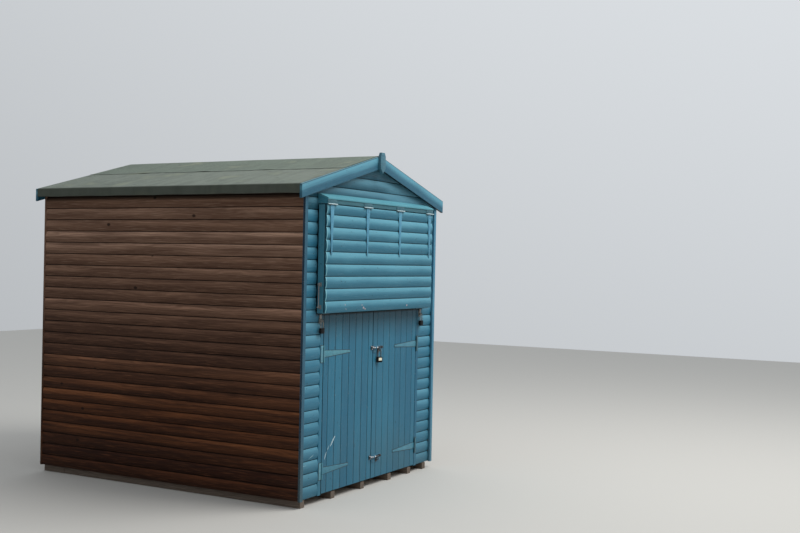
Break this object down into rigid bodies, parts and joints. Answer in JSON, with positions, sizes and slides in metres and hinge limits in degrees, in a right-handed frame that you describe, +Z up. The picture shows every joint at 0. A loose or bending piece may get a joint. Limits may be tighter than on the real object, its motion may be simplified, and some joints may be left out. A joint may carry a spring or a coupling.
{
  "type": "timber beach hut",
  "caption": "Gabled timber beach hut with loglap walls, felted roof, a pair of boarded doors and a top-hung hatch above them.",
  "frame": {"origin": "ground level under the middle of the hut", "axes": "+Z up, +X to the right along the front, +Y from the front to the back"},
  "size_m": [2.066, 2.5274, 2.4901],
  "materials": {
    "bearer_wood": "rough",
    "floor_wood": "bare",
    "frame_wood": "bare",
    "brown_stain": "stained",
    "blue_paint": "painted",
    "roof_felt": "mineral",
    "dark_eaves": "stained",
    "painted_iron": "painted over",
    "rusty_iron": "rusted",
    "dark_iron": "black",
    "padlock_brass": "weathered"
  },
  "bodies": {
    "hut": {"bearers": "bearer_wood", "floor": "floor_wood", "side_frames": "frame_wood", "front_frame": "frame_wood", "back_frame": "frame_wood", "left_wall": "brown_stain", "right_wall": "brown_stain", "back_wall": "brown_stain", "front_left_panel": "blue_paint", "front_right_panel": "blue_paint", "front_gable": "blue_paint", "front_corner_strips": "blue_paint", "back_corner_strips": "brown_stain", "door_jambs": "blue_paint", "roof_beams": "frame_wood", "left_roof_boards": "frame_wood", "right_roof_boards": "frame_wood", "eaves_boards": "dark_eaves", "left_felt": "roof_felt", "right_felt": "roof_felt", "ridge_felt": "roof_felt", "front_bargeboards": "blue_paint", "back_bargeboards": "blue_paint", "finial": "blue_paint", "hatch_header": "blue_paint", "weather_strip": "blue_paint", "hatch_hinge_plates": "painted_iron", "hasp_straps": "dark_iron", "hatch_padlocks": "dark_iron", "door_hinge_plates": "painted_iron"},
    "left_leaf": {"left_door": "blue_paint", "left_door_ledges": "frame_wood", "left_door_straps": "painted_iron", "bolt_keepers": "dark_iron"},
    "right_leaf": {"right_door": "blue_paint", "right_door_ledges": "frame_wood", "right_door_straps": "painted_iron", "door_bolts": "dark_iron", "door_padlock": "padlock_brass"},
    "hatch": {"hatch_frame": "blue_paint", "hatch_boards": "blue_paint", "hatch_hinge_straps": "painted_iron", "hatch_hook": "rusty_iron", "hatch_hasps": "dark_iron"}
  },
  "joints": [
    {"name": "left_door_hinge", "type": "hinge", "parent": "hut", "child": "left_leaf", "pos_m": [-0.6775, -1.18025, 0.215], "axis": [0, 0, -1], "range_deg": [0, 120]},
    {"name": "right_door_hinge", "type": "hinge", "parent": "hut", "child": "right_leaf", "pos_m": [0.6775, -1.18025, 0.215], "axis": [0, 0, 1], "range_deg": [0, 120]},
    {"name": "hatch_hinge", "type": "hinge", "parent": "hut", "child": "hatch", "pos_m": [0, -1.25825, 2.067], "axis": [-1, 0, 0], "range_deg": [0, 90]}
  ]
}
